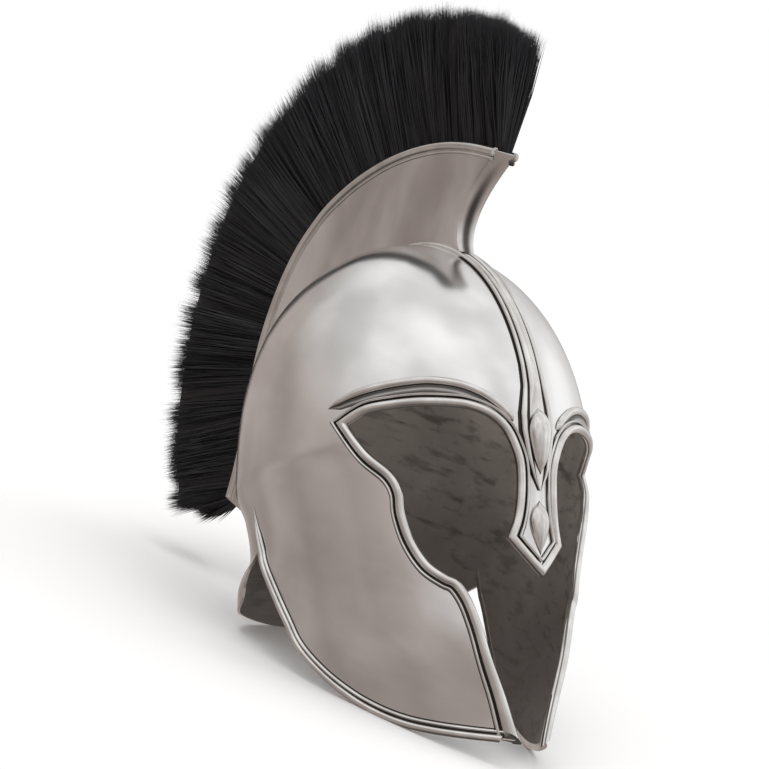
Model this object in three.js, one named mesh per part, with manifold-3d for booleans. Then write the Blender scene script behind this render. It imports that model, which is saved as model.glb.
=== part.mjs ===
// Crested steel helmet of the old Greek kind: a hollow sheet shell with cheek pieces, neck guard
// and nasal, beaded edge trims, a ridge strap, and a sheet crest that holds a brush plume.
// It is drawn upright as it is worn, then leaned back onto the table that it stands on.
import * as THREE from 'three';
import { mergeVertices } from 'three/addons/utils/BufferGeometryUtils.js';
import Module from 'manifold-3d';

const wasm = await Module();
wasm.setup();

// Driving dimensions in millimetres and degrees. As worn, X is to the wearer's left, the face looks
// along -Y and Z is up from the middle of the skull. A bearing turns from straight ahead to the side.
const GAP = 0.3; // clearance between neighbouring pieces
const SHEET = 1.6; // wall of the shell
const CREST_SHEET = 1.3; // wall of the crest holder
const SPRING = -10; // height where the walls turn over into the dome
const CROWN = 144.5; // top of the dome
const CROWN_FLAT = 0.3; // flat left at the very top, under the ridge
const BOTTOM = -206; // below the cheek tips, before the lower edge is cut
const OVERRUN = 2; // the hollow's reach past the bottom
const CUT_BOTTOM = -236; // bottom of the cutter for the lower edge
const BLOCK = 900; // edge of the blocks that cut off the table and the other half
const FAR = 220; // farther from the middle than any point of the shell
const AROUND = 36; // facets round the shell
const PROW_FADE = 0.25; // how much the sweep of the front flattens the sides of the plan
const HALVINGS = 36; // steps of a search by halving
const FEEL = { bearing: 0.4, height: 0.8, offset: 1, angle: 0.6, way: 0.001 }; // steps that find a slope
const CUTTER_SHARES = [0.5, 0.95, 1.04, 1.4]; // a cutter's faces, as shares of the way out to the wall
const REST_PITCH = 30; // how far the helmet leans back where it stands
const REST_LEVEL = 129.3; // from the middle of the skull down to the table
const CREST_FRONT = 68; // angles of the crest's ends, from straight ahead over the crown
const CREST_REAR = 197.6;
const CREST_HALF = { base: 5.4, edge: 8 }; // half the crest's thickness
const CREST_LIFT = 2.6; // the crest's foot stands this high over the shell, on the ridge strap
const CREST_BOW = 14; // hollow of the crest's front edge
const CREST_BOW_REACH = 0.3; // share of the crest's way over which the hollow fades out
const CREST_SHARES = [0, 0.35, 0.7, 1]; // rows of points from the crest's foot to its edge
const HOLLOW_SHARES = [-0.06, 0.35, 0.7, 1.06]; // the same rows inside it, run past both open edges
const END_PLATE = 0.004; // share of the way that the sheet of an end plate takes up
const CREST_STATIONS = 16;
const PLUME_LOCKS = 16;
const BACKING = { half: 5.6, deep: 9, shallow: 1 }; // plume backing in the crest's open edge

// Short tables, a row for each section or point, with named columns.
const table = (columns, ...rows) =>
  rows.map((row) => Object.fromEntries(columns.map((name, i) => [name, row[i]])));

// Plan of the wall: half width, fullness of the nape, reach to front and back, sweep of the front halves.
const WALL = table(['height', 'side', 'nape', 'front', 'back', 'prow'],
  [-210, 45.1, 74, 125.3, 134, 67.3],
  [-165, 62.4, 87, 128.8, 131, 44.7],
  [-125, 79.6, 95, 123.5, 129, 19],
  [-98, 85, 146, 122.2, 121, 14.9],
  [-75, 89.7, 148, 121.3, 116, 12.5],
  [-66, 91.7, 136, 121.1, 113.5, 11.2],
  [-57, 93.8, 112, 121, 108.5, 10],
  [-30, 100.5, 100.5, 121, 114.5, 8],
  [SPRING, 105.8, 105.8, 121, 122, 7],
  [SPRING + 20, 105.8, 105.8, 121, 122, 7]);
const DOME_POWER = { side: 2.18, nape: 2.18, front: 1.95, back: 3 }; // fullness of the dome each way
const RING_HEIGHTS = [-184, -157, -126, -98, -77, -66, -56, -32, -10, 20, 54, 88, 116, 136];

// Edge of the face opening: the cheek from its tip to the eye corner, the eye to the nasal's corner.
const CHEEK_EDGE = table(['bearing', 'height'],
  [2.1, -207.7], [5.5, -193.6], [10.4, -165.9], [14.8, -144], [18.2, -124.1], [21.3, -108.5], [24.9, -98.2],
  [28.4, -94.6], [34.5, -85.9], [39.7, -71.2], [42.7, -55.1], [43.5, -41.8], [46.7, -31], [54.6, -17.6],
  [62, 2]);
const EYE_EDGE = table(['bearing', 'height'],
  [62, 2], [54.6, 8.6], [45.9, 10.6], [37.8, 11.6], [29.9, 11.4], [22.6, 10.2], [15.8, 5.6],
  [11.1, -2.2], [8.2, -12.8], [6.6, -23.4], [6.3, -37], [6.7, -50], [7.6, -60], [9.2, -69.5]);
const NASAL_TIP = { bearing: 0, height: -90 };
const NASAL_SHARES = [0.25, 0.6, 1]; // points from the nasal's corner to its tip
const TRIM_PAST = { bearing: 0.4, height: 1.09 }; // the face trim's run past the tip, cut at the middle
const STEPS_PER_ROW = 1.5; // points of a smooth way for each row of its table

// Lower edge, from the cheek's tip up to the notch and round the neck guard to the back. Its trim starts
// at the second point, beside the face trim.
const CHEEK_LOWER = table(['bearing', 'height'],
  [3.3, -192.8], [11.6, -189.5], [21.9, -185.9], [31.9, -182.3], [43.8, -177.3], [57.9, -169.3],
  [72.8, -158.3], [86.7, -143.6], [98.8, -123.8], [104.2, -106.7], [109.2, -86.7], [113.3, -66.7],
  [115.3, -54.2]);
const GUARD_LOWER = table(['bearing', 'height'],
  [115.3, -54.2], [121.5, -58.2], [126.3, -64], [128.6, -71], [130.6, -77.5], [133.5, -82.3], [140, -84.6],
  [153, -83.4], [166, -83], [180, -83]);
const NOTCH_TAIL = table(['bearing', 'height'], [116, -45.4], [115.8, -36.7], [115, -30]);
const NOTCH_TAPER = 0.8; // share of its section that the lower trim loses up this tail

// Raised bead over the eye, and how wide and high it stands along its way.
const BROW = table(['bearing', 'height', 'half', 'rise'],
  [68, 13.6, 0.6, 0.4], [64.4, 16.6, 2, 1.6], [58, 20.6, 2.6, 2.4], [50, 23.6, 2.6, 2.6],
  [41, 25.6, 2.6, 2.6], [33.7, 26.3, 2.6, 2.6], [24.5, 24, 2.6, 2.6], [17.6, 19, 2.6, 2.6], [12.8, 12.8, 2.4, 2.4],
  [10.4, 8.4, 1.8, 1.7], [9.2, 6, 0.6, 0.4]);

// Ridge strap by its angle from straight ahead over the crown: half width, and the middle bead's height.
const RIDGE_FRONT = table(['angle', 'half', 'bead'],
  [-17.6, 0.8, 1.1], [-14, 5, 1.3], [-9, 8.2, 1.3], [-5, 10.2, 1.3], [-1, 12, 1.3], [4, 12, 1.3],
  [8, 10.6, 1.6], [13, 8.6, 2.6], [20, 7.7, 2.8]);
const RIDGE_STEP = 6.5; // from there the strap keeps its section up to the crest, and runs flat under it
const RIDGE_UNDER_CREST = 1.3;
const RIDGE_FOOT = 0.75;
const RIDGE_END = { least: 0.9, slope: 0.25 }; // the strap's beads sink where it narrows
// Across the strap: share of the half width, and height over the shell (the middle follows the bead).
const RIDGE_ACROSS = table(['share', 'out'], [0.97, 1.5], [0.88, 2.1], [0.74, 1.3], [0.31, 1.3]);

// Leaf-shaped bosses by angle: half width and rise over their seat.
const FOREHEAD_BOSS = table(['angle', 'half', 'rise'],
  [5.7, 0.6, 0.3], [3.6, 4.6, 3], [1, 7, 4.2], [-2, 7.4, 4.5], [-6, 6, 4], [-10, 3.6, 2.6], [-13.3, 0.5, 0.3]);
const NASAL_BOSS = table(['angle', 'half', 'rise'],
  [-21.5, 0.5, 0.3], [-23.4, 3.8, 2.2], [-25.5, 5.5, 3], [-27.6, 5, 3], [-30, 2.8, 2], [-32.4, 0.5, 0.3]);
const FOREHEAD_SEAT = 1.65;
const MITRE_LIMIT = 1.6; // longest mitre of a trim's corner, by its width

// Trim sections: distance from the sheet's edge into the metal, and height over the sheet's outer face.
const FACE_TRIM = table(['across', 'out'],
  [6.2, -0.4], [6.2, 1.1], [5.2, 1.8], [3.7, 1], [2.8, 1.8], [1.2, 2.5], [-0.6, 2.2], [-1.7, 0.9], [-1.5, -0.4]);
const LOWER_TRIM = table(['across', 'out'],
  [5, -0.4], [4.9, 1.1], [3.9, 1.6], [2.6, 1.1], [1.2, 2.2], [-0.6, 2.1], [-1.7, 0.9], [-1.5, -0.4]);
// Crest trim: distance out from the side plate's face, and beyond the plate's edge.
const CREST_TRIM = table(['out', 'beyond'],
  [0.3, -6], [1, -6], [1.5, -5], [0.9, -3.8], [1.9, -2.2], [2.1, -0.4], [1, 1.1], [-1.2, 1.1], [-1.2, 0.3],
  [0.3, 0.3]);

// Outer edge of the crest in the middle plane, front to back.
const CREST_EDGE = table(['forward', 'height'],
  [92.5, 186.3], [66, 197.6], [37.8, 205.6], [7, 209.4], [-23.7, 208.6], [-56, 202.5], [-87.3, 190],
  [-119.7, 165], [-146.8, 126.3], [-163, 85], [-175, 45], [-186.3, 19.5]);

// Plume: length of the hair along the crest, and the section of a lock from root to tip.
const PLUME_LENGTH = table(['way', 'length'],
  [0, 74], [0.12, 84], [0.3, 90], [0.5, 93], [0.7, 88], [0.85, 80], [1, 56]);
const PLUME_SAG = 24; // how far the hair at the rear end hangs down from square, in degrees
const PLUME_UPRIGHT = 14; // how far the hair at the front end leans back from square
const LOCK = table(['share', 'along', 'thick'],
  [-0.03, 12.6, 5.6], [0.68, 19, 22], [0.93, 18, 22], [1, 10, 12]);
const LOCK_SIDES = 6;
const LOCK_ENDS = 0.042; // share of the way from the crest's ends to the middle of the end locks
const LOCK_RAGGED = 0.05; // share by which neighbouring locks differ in length
const LOCK_BEAT = 2.4; // turn from lock to lock of that difference, in radians

const radians = THREE.MathUtils.degToRad;
const degrees = THREE.MathUtils.radToDeg;
const vector = (x, y, z) => new THREE.Vector3(x, y, z);

// Monotone cubic through one column of a table, so it never swings past its rows.
function column(rows, key, name, at) {
  const last = rows.length - 1;
  const step = (i) => rows[i + 1][key] - rows[i][key];
  const slope = (i) => (rows[i + 1][name] - rows[i][name]) / step(i);
  const tangent = (i) => {
    if (i === 0 || i === last) return slope(Math.min(i, last - 1));
    const [before, after] = [slope(i - 1), slope(i)];
    return before * after <= 0 ? 0 : (2 * before * after) / (before + after);
  };
  let i = 0;
  while (i < last - 1 && (at - rows[i + 1][key]) * Math.sign(step(i)) > 0) i += 1;
  const t = THREE.MathUtils.clamp((at - rows[i][key]) / step(i), 0, 1);
  const [t2, t3] = [t * t, t * t * t];
  return rows[i][name] * (2 * t3 - 3 * t2 + 1) + rows[i + 1][name] * (3 * t2 - 2 * t3)
    + step(i) * (tangent(i) * (t3 - 2 * t2 + t) + tangent(i + 1) * (t3 - t2));
}

// The wall's plan at a height: the table below the spring, a full dome above it.
function planAt(height) {
  const low = Math.min(height, SPRING);
  const rise = THREE.MathUtils.clamp((height - SPRING) / (CROWN - SPRING), 0, 1);
  const reach = (name) =>
    column(WALL, 'height', name, low) * (1 - rise ** DOME_POWER[name]) ** (1 / DOME_POWER[name]);
  const prow = column(WALL, 'height', 'prow', low) * (1 - rise) ** 2;
  const [side, nape, front, back] = ['side', 'nape', 'front', 'back'].map(reach);
  return { side, nape, front, back, prow: radians(prow) };
}

// A point of the plan curve: way 0 is the front, 0.5 the widest place and 1 the back.
function planPoint(plan, way) {
  const round = 0.5523; // handle length that makes a quarter circle of a cubic curve
  const front = way <= 0.5;
  const t = Math.abs(1 - 2 * way);
  const reach = front ? plan.front : plan.back;
  const prow = front ? plan.prow : 0;
  const s = 1 - t;
  const cubic = (a, b, c, d) => a * s ** 3 + 3 * b * t * s * s + 3 * c * t * t * s + d * t ** 3;
  const x = cubic(plan.side, plan.side, round * (front ? plan.side : plan.nape), 0);
  const fade = 1 - PROW_FADE * Math.sin(prow);
  const y = cubic(0, round * reach * fade, reach - round * plan.side * Math.tan(prow), reach);
  return [x, front ? -y : y];
}

// The point of the shell's outer face at a bearing and a height.
function wallPoint(bearing, height) {
  const plan = planAt(height);
  let [low, high] = [0, 1];
  for (let i = 0; i < HALVINGS; i += 1) {
    const way = (low + high) / 2;
    const [x, y] = planPoint(plan, way);
    if (Math.atan2(x, -y) < radians(Math.abs(bearing))) low = way;
    else high = way;
  }
  const [x, y] = planPoint(plan, low);
  return vector(Math.sign(bearing) * x, y, height);
}

// Outward direction of a surface given by a function of two coordinates.
function outward(surface, a, b, stepA, stepB) {
  const across = surface(a + stepA, b).sub(surface(a - stepA, b));
  const along = surface(a, b + stepB).sub(surface(a, b - stepB));
  return across.cross(along).normalize();
}

// A point a given height over the shell's face, by bearing and height.
function overWall(bearing, height, out) {
  const normal = outward(wallPoint, bearing, height, FEEL.bearing, FEEL.height);
  return wallPoint(bearing, height).addScaledVector(normal, out);
}

// The point of the shell's face met from the middle plane, by offset to the side and angle over the crown.
function crownPoint(offset, angle) {
  const direction = vector(0, -Math.cos(radians(angle)), Math.sin(radians(angle)));
  let [near, far] = [0, FAR];
  for (let i = 0; i < HALVINGS; i += 1) {
    const middle = (near + far) / 2;
    const p = vector(offset, 0, 0).addScaledVector(direction, middle);
    const wall = p.z < CROWN ? wallPoint(degrees(Math.atan2(p.x, -p.y)), p.z) : vector(0, 0, 0);
    if (Math.hypot(p.x, p.y) < Math.hypot(wall.x, wall.y)) near = middle;
    else far = middle;
  }
  return vector(offset, 0, 0).addScaledVector(direction, near);
}

function overCrown(offset, angle, out) {
  const normal = outward(crownPoint, offset, angle, FEEL.offset, FEEL.angle);
  return crownPoint(offset, angle).addScaledVector(normal, out);
}

// A solid from shared points and triangles, turned so that its faces point out.
function solidFrom(points, faces) {
  const volume = faces.reduce((sum, [a, b, c]) =>
    sum + points[a].dot(vector(0, 0, 0).crossVectors(points[b], points[c])), 0);
  const turned = volume < 0 ? faces.map(([a, b, c]) => [a, c, b]) : faces;
  return new wasm.Manifold(new wasm.Mesh({
    numProp: 3,
    vertProperties: new Float32Array(points.flatMap((p) => p.toArray())),
    triVerts: new Uint32Array(turned.flat()),
  }));
}

// Triangles over a flat or nearly flat ring of points, all turned the same way as the ring.
function capOf(ring) {
  const normal = vector(0, 0, 0);
  ring.forEach((p, i) => normal.add(vector(0, 0, 0).crossVectors(p, ring[(i + 1) % ring.length])));
  const u = vector(0, 0, 0).subVectors(ring[1], ring[0]).normalize();
  const v = vector(0, 0, 0).crossVectors(normal, u).normalize();
  const flat = ring.map((p) => new THREE.Vector2(p.dot(u), p.dot(v)));
  const turn = ([a, b, c]) =>
    (flat[b].x - flat[a].x) * (flat[c].y - flat[a].y) - (flat[b].y - flat[a].y) * (flat[c].x - flat[a].x);
  const faces = THREE.ShapeUtils.triangulateShape(flat, []);
  const fan = ring.slice(2).map((_, i) => [0, i + 1, i + 2]); // for a ring with points in one line
  const whole = faces.length === ring.length - 2 ? faces : fan;
  return whole.map((f) => (turn(f) < 0 ? [f[0], f[2], f[1]] : f));
}

// A closed solid through rings of equally many points, its squares split by their shorter diagonal;
// a looped one joins its last ring to its first.
function loft(rings, looped = false) {
  const count = rings[0].length;
  const faces = [];
  const bands = looped ? rings.length : rings.length - 1;
  for (let r = 0; r < bands; r += 1) {
    const next = (r + 1) % rings.length;
    for (let i = 0; i < count; i += 1) {
      const j = (i + 1) % count;
      const [a, b, c, d] = [r * count + i, next * count + i, next * count + j, r * count + j];
      const straight = rings[r][i].distanceTo(rings[next][j]) <= rings[next][i].distanceTo(rings[r][j]);
      faces.push(...(straight ? [[a, b, c], [a, c, d]] : [[a, b, d], [b, c, d]]));
    }
  }
  if (!looped) {
    const top = (rings.length - 1) * count;
    capOf(rings[0]).forEach(([a, b, c]) => faces.push([a, b, c]));
    capOf(rings[rings.length - 1]).forEach(([a, b, c]) => faces.push([top + a, top + c, top + b]));
  }
  return solidFrom(rings.flat(), faces);
}

function solidOf(geometry) {
  geometry.deleteAttribute('normal');
  geometry.deleteAttribute('uv');
  const merged = mergeVertices(geometry);
  return new wasm.Manifold(new wasm.Mesh({
    numProp: 3,
    vertProperties: new Float32Array(merged.attributes.position.array),
    triVerts: new Uint32Array(merged.index.array),
  }));
}

// A smooth way through a table's bearings and heights.
function wayThrough(rows) {
  const curve = new THREE.SplineCurve(rows.map((row) => new THREE.Vector2(row.bearing, row.height)));
  const steps = Math.round((rows.length - 1) * STEPS_PER_ROW);
  return curve.getPoints(steps).map((p) => ({ bearing: p.x, height: p.y }));
}

const mirrored = (way) => way.map((p) => ({ ...p, bearing: -p.bearing }));

// The whole edge of one half of the face opening, cheek tip to nasal tip.
const cheekWay = wayThrough(CHEEK_EDGE);
const eyeWay = wayThrough(EYE_EDGE);
const nasalCorner = EYE_EDGE[EYE_EDGE.length - 1];
const nasalWay = NASAL_SHARES.map((share) => ({
  bearing: nasalCorner.bearing + (NASAL_TIP.bearing - nasalCorner.bearing) * share,
  height: nasalCorner.height + (NASAL_TIP.height - nasalCorner.height) * share,
}));
const faceWay = [...cheekWay, ...eyeWay.slice(1), ...nasalWay];
const lowerWay = wayThrough(CHEEK_LOWER);

// A point level with a place on the wall, at a share of its distance from the upright axis.
function besideWall({ bearing, height }, share, level = height) {
  const p = wallPoint(bearing, height);
  return vector(p.x * share, p.y * share, level);
}

// A cutter through the wall with an outline of bearings and heights, from inside to well outside.
function wallCutter(outline) {
  return loft(CUTTER_SHARES.map((share) => outline.map((place) => besideWall(place, share))));
}

// Everything below the lower edge, as a ring round the helmet.
function lowerCutter() {
  const half = [...lowerWay, ...wayThrough(GUARD_LOWER).slice(1)];
  const around = [...half, ...mirrored(half).reverse().slice(1)];
  const [inside, outside] = [CUTTER_SHARES[0], CUTTER_SHARES[CUTTER_SHARES.length - 1]];
  return loft(around.map((place) => [
    ...CUTTER_SHARES.map((share) => besideWall(place, share)),
    besideWall(place, outside, CUT_BOTTOM),
    besideWall(place, inside, CUT_BOTTOM),
  ]), true);
}

// Everything below the table that the leaning helmet stands on.
function tableCutter() {
  const block = new THREE.BoxGeometry(BLOCK, BLOCK, BLOCK);
  block.translate(0, 0, -REST_LEVEL - BLOCK / 2);
  block.rotateX(radians(REST_PITCH));
  return solidOf(block);
}

// Everything on one side of the middle plane, a small clearance away from it.
function halfCutter(side) {
  const block = new THREE.BoxGeometry(BLOCK, BLOCK, BLOCK);
  block.translate(side * (BLOCK / 2 + GAP / 2), 0, 0);
  return solidOf(block);
}

// The whole form of the shell, filled, with its face moved out by a distance.
function form(out, bottom) {
  const ways = Array.from({ length: AROUND }, (_, i) => (2 * i) / AROUND - 1);
  const faceAt = (way, height) => {
    const [x, y] = planPoint(planAt(height), Math.abs(way));
    return vector(Math.sign(way) * x, y, height);
  };
  const ring = (height) => ways.map((way) => {
    const place = Math.sign(way) * Math.min(Math.abs(way), 1 - FEEL.way);
    const normal = outward(faceAt, place, height, FEEL.way, FEEL.height);
    return faceAt(way, height).addScaledVector(normal, out);
  });
  return loft([bottom, ...RING_HEIGHTS, CROWN - CROWN_FLAT].map(ring));
}

const bed = form(GAP, BOTTOM); // the face that everything on the shell is laid on

function shell() {
  const sheet = form(0, BOTTOM).subtract(form(-SHEET, BOTTOM - OVERRUN));
  const opening = wallCutter([...faceWay, ...mirrored(faceWay).reverse().slice(1)]);
  return sheet.subtract(opening).subtract(lowerCutter()).subtract(tableCutter());
}

// A band laid along a way on the shell: its section is measured across the way and out from the sheet,
// and it is mitred at the corners. A way that runs with the metal on its right has side 1.
function band(way, side, sectionAt) {
  const rings = way.map((point, i) => {
    const wall = wallPoint(point.bearing, point.height);
    const perDegree = radians(Math.hypot(wall.x, wall.y));
    const heading = (from, to) =>
      new THREE.Vector2((to.bearing - from.bearing) * perDegree, to.height - from.height).normalize();
    const before = heading(way[Math.max(i - 1, 0)], way[Math.max(i, 1)]);
    const after = heading(way[Math.min(i, way.length - 2)], way[Math.min(i + 1, way.length - 1)]);
    const ahead = before.clone().add(after).normalize();
    const mitre = Math.min(1 / ahead.dot(before), MITRE_LIMIT);
    return sectionAt(point, i).map(({ across, out }) => overWall(
      point.bearing + (side * mitre * across * ahead.y) / perDegree,
      point.height - side * mitre * across * ahead.x,
      out,
    ));
  });
  return loft(rings).subtract(bed);
}

function faceTrim(side) {
  const past = {
    bearing: -nasalCorner.bearing * TRIM_PAST.bearing,
    height: NASAL_TIP.height * TRIM_PAST.height,
  };
  const way = [...faceWay, past];
  const strip = band(side > 0 ? way : mirrored(way), side, () => FACE_TRIM);
  return strip.intersect(halfCutter(side)).subtract(lowerCutter());
}

function lowerTrim(side) {
  const edge = wayThrough(CHEEK_LOWER.slice(1));
  const notch = edge[edge.length - 1];
  const tail = wayThrough([notch, ...NOTCH_TAIL]).slice(1);
  const way = [...edge.slice(0, -1), ...tail];
  return band(side > 0 ? way : mirrored(way), -side, (point, i) => {
    const past = Math.max(i - edge.length + 2, 0) / tail.length;
    const taper = 1 - NOTCH_TAPER * past;
    return LOWER_TRIM.map(({ across, out }) => ({ across: across * taper, out: out * taper }));
  }).subtract(tableCutter());
}

function browRidge(side) {
  const sides = 5;
  const way = BROW.map((row) => ({ ...row, bearing: side * row.bearing }));
  return band(way, 1, ({ half, rise }) => Array.from({ length: sides }, (_, i) => {
    const turn = (Math.PI * i) / (sides - 1);
    return { across: half * Math.cos(turn), out: rise * Math.sin(turn) };
  }));
}

function centreRidge() {
  const last = RIDGE_FRONT[RIDGE_FRONT.length - 1];
  const count = Math.ceil((CREST_REAR - last.angle) / RIDGE_STEP);
  const over = Array.from({ length: count }, (_, i) => {
    const angle = last.angle + ((CREST_REAR - last.angle) * (i + 1)) / count;
    return { ...last, angle, bead: angle < CREST_FRONT - 1 ? last.bead : RIDGE_UNDER_CREST };
  });
  return loft([...RIDGE_FRONT, ...over].map(({ angle, half, bead }) => {
    const most = RIDGE_END.least + half * RIDGE_END.slope;
    const right = RIDGE_ACROSS.map(({ share, out }) => ({ share, out: Math.min(out, most) }));
    const left = right.map(({ share, out }) => ({ share: -share, out })).reverse();
    const foot = [-1, 0, 1].map((share) => ({ share, out: RIDGE_FOOT }));
    const across = [...foot, ...right, { share: 0, out: bead }, ...left];
    return across.map(({ share, out }) => overCrown(share * half, angle, out));
  }));
}

// A leaf-shaped boss on the middle line, standing on its seat.
function boss(rows, seat) {
  const steps = 8;
  return loft(rows.map(({ angle, half, rise }) => {
    const dome = Array.from({ length: steps + 1 }, (_, i) => {
      const turn = (Math.PI * i) / steps;
      return overCrown(half * Math.cos(turn), angle, seat + rise * Math.sin(turn));
    });
    return [...dome, overCrown(0, angle, seat)];
  })).subtract(bed);
}

// The crest's foot, on the strap over the crown, and its outer edge, by way from front to rear.
const crestAngle = (way) => CREST_FRONT + (CREST_REAR - CREST_FRONT) * way;
const edgeCurve = new THREE.CatmullRomCurve3(CREST_EDGE.map((p) => vector(0, -p.forward, p.height)));
const crestFoot = (way) => overCrown(0, crestAngle(way), CREST_LIFT);
const crestEdge = (way) => edgeCurve.getPointAt(way);

// A point of the crest's middle surface; share 0 is its foot and 1 its outer edge.
function crestPoint(way, share) {
  const p = crestFoot(way).lerp(crestEdge(way), share);
  const hollow = 4 * share * (1 - share) * Math.max(1 - way / CREST_BOW_REACH, 0) ** 2;
  p.y += CREST_BOW * hollow;
  return p;
}

// The crest's outward direction at its edge, in the middle plane.
function edgeOutward(way) {
  const tangent = edgeCurve.getTangentAt(way);
  return vector(0, -tangent.z, tangent.y);
}

function crestSlab(ways, shares, thinner) {
  const half = (share) => CREST_HALF.base + (CREST_HALF.edge - CREST_HALF.base) * share - thinner;
  return loft(ways.map((way) => {
    const right = shares.map((share) => crestPoint(way, share).setX(half(share)));
    const left = shares.map((share) => crestPoint(way, share).setX(-half(share))).reverse();
    return [...right, ...left];
  }));
}

function crestHolder() {
  const ways = Array.from({ length: CREST_STATIONS + 1 }, (_, i) => i / CREST_STATIONS);
  const hollow = ways.map((way) => THREE.MathUtils.clamp(way, END_PLATE, 1 - END_PLATE));
  const body = crestSlab(ways, CREST_SHARES, 0);
  return body.subtract(crestSlab(hollow, HOLLOW_SHARES, CREST_SHEET));
}

function crestTrim(side) {
  const ways = Array.from({ length: CREST_STATIONS + 1 }, (_, i) => i / CREST_STATIONS);
  return loft(ways.map((way) => {
    const outwards = edgeOutward(way);
    return CREST_TRIM.map(({ out, beyond }) =>
      crestEdge(way).addScaledVector(outwards, beyond).setX(side * (CREST_HALF.edge + out)));
  }));
}

// One lock of the plume, standing out from the crest's edge, its section wider towards the tip.
function lock(index) {
  const way = LOCK_ENDS + ((1 - 2 * LOCK_ENDS) * index) / (PLUME_LOCKS - 1);
  const root = crestEdge(way);
  const lean = PLUME_SAG * way ** 4 + PLUME_UPRIGHT * (1 - way) ** 6;
  const turned = vector(1, 0, 0);
  const outwards = edgeOutward(way).applyAxisAngle(turned, -radians(lean));
  const along = edgeCurve.getTangentAt(way).applyAxisAngle(turned, -radians(lean));
  const ragged = 1 + LOCK_RAGGED * Math.sin(LOCK_BEAT * index);
  const length = column(PLUME_LENGTH, 'way', 'length', way) * ragged;
  return loft(LOCK.map(({ share, along: width, thick }) => Array.from({ length: LOCK_SIDES }, (_, i) => {
    const turn = (2 * Math.PI * i) / LOCK_SIDES;
    return root.clone().addScaledVector(outwards, share * length)
      .addScaledVector(along, width * Math.cos(turn)).setX(thick * Math.sin(turn));
  })));
}

function plume() {
  const inset = 0.03; // share of the way that the backing stays short of the crest's ends
  const ways = Array.from({ length: CREST_STATIONS + 1 }, (_, i) => i / CREST_STATIONS)
    .map((way) => THREE.MathUtils.clamp(way, inset, 1 - inset));
  const backing = loft(ways.map((way) => {
    const at = (deep, side) =>
      crestEdge(way).addScaledVector(edgeOutward(way), -deep).setX(side * BACKING.half);
    return [at(BACKING.deep, 1), at(BACKING.shallow, 1), at(BACKING.shallow, -1), at(BACKING.deep, -1)];
  }));
  const locks = Array.from({ length: PLUME_LOCKS }, (_, i) => lock(i));
  return locks.reduce((sum, one) => sum.add(one), backing);
}

// A named mesh of a solid, with a material of its own.
function piece(name, solid, look) {
  const { vertProperties, triVerts } = solid.getMesh();
  const geometry = new THREE.BufferGeometry();
  geometry.setAttribute('position', new THREE.BufferAttribute(vertProperties, 3));
  geometry.setIndex(new THREE.BufferAttribute(triVerts, 1));
  geometry.computeVertexNormals();
  const mesh = new THREE.Mesh(geometry, new THREE.MeshStandardMaterial(look));
  mesh.name = name;
  return mesh;
}

const POLISHED = { color: 0xb9b4b0, roughness: 0.22, metalness: 1 };
const BEADED = { color: 0xa9a5a1, roughness: 0.28, metalness: 1 };
const CREST_STEEL = { color: 0xaaa19b, roughness: 0.3, metalness: 1 };
const HAIR = { color: 0x1c1c1f, roughness: 0.75, metalness: 0 };

const worn = new THREE.Group();
worn.add(piece('shell', shell(), POLISHED));
for (const [hand, side] of [['left', 1], ['right', -1]]) {
  worn.add(piece(`face_trim_${hand}`, faceTrim(side), BEADED));
  worn.add(piece(`lower_trim_${hand}`, lowerTrim(side), BEADED));
  worn.add(piece(`brow_ridge_${hand}`, browRidge(side), BEADED));
  worn.add(piece(`crest_trim_${hand}`, crestTrim(side), BEADED));
}
worn.add(piece('centre_ridge', centreRidge(), BEADED));
worn.add(piece('forehead_boss', boss(FOREHEAD_BOSS, FOREHEAD_SEAT), BEADED));
worn.add(piece('nasal_boss', boss(NASAL_BOSS, GAP), BEADED));
worn.add(piece('crest_holder', crestHolder(), CREST_STEEL));
worn.add(piece('plume', plume(), HAIR));

// Lean the helmet back onto its cheeks and neck guard, with the middle of its footing at the origin.
worn.rotation.x = -radians(REST_PITCH);
const helmet = new THREE.Group();
helmet.add(worn);
helmet.updateMatrixWorld(true);
const box = new THREE.Box3().setFromObject(helmet, true);
worn.position.set(0, -(box.min.y + box.max.y) / 2, REST_LEVEL);

export default helmet;
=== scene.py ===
from math import cos, pi, radians, sin

import bpy
import numpy as np
from mathutils import Matrix, Vector


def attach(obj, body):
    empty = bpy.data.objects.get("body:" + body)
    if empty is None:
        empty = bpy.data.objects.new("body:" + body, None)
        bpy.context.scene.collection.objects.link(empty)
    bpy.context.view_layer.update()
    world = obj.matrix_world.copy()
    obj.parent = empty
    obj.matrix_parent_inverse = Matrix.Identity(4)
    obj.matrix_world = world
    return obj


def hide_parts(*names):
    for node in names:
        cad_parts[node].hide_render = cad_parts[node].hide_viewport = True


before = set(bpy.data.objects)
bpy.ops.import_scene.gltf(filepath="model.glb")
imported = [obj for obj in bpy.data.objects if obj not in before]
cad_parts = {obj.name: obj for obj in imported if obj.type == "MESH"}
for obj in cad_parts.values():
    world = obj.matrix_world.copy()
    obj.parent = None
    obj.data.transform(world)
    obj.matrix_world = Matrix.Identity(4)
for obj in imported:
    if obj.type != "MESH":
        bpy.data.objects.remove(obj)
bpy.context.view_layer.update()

# The camera stands to the right of the wearer's face. It is turned with the leaning helmet, so the helmet
# looks upright, as it is worn. Angles are those of the upright helmet, from the middle of its skull.
lean = Matrix.Rotation(radians(-30), 3, "X")
skull = Vector((0, -0.04421, 0.1293))
view_turn, view_rise, view_distance = radians(-38.5), radians(-16.4), 2.5
frame_left, frame_up = 0.01827, 0.05387
level_back = Vector((sin(view_turn), -cos(view_turn), 0)) * cos(view_rise)
view_back = lean @ (level_back + Vector((0, 0, sin(view_rise))))
view_right = lean @ Vector((cos(view_turn), sin(view_turn), 0))
view_up = view_back.cross(view_right)
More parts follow.
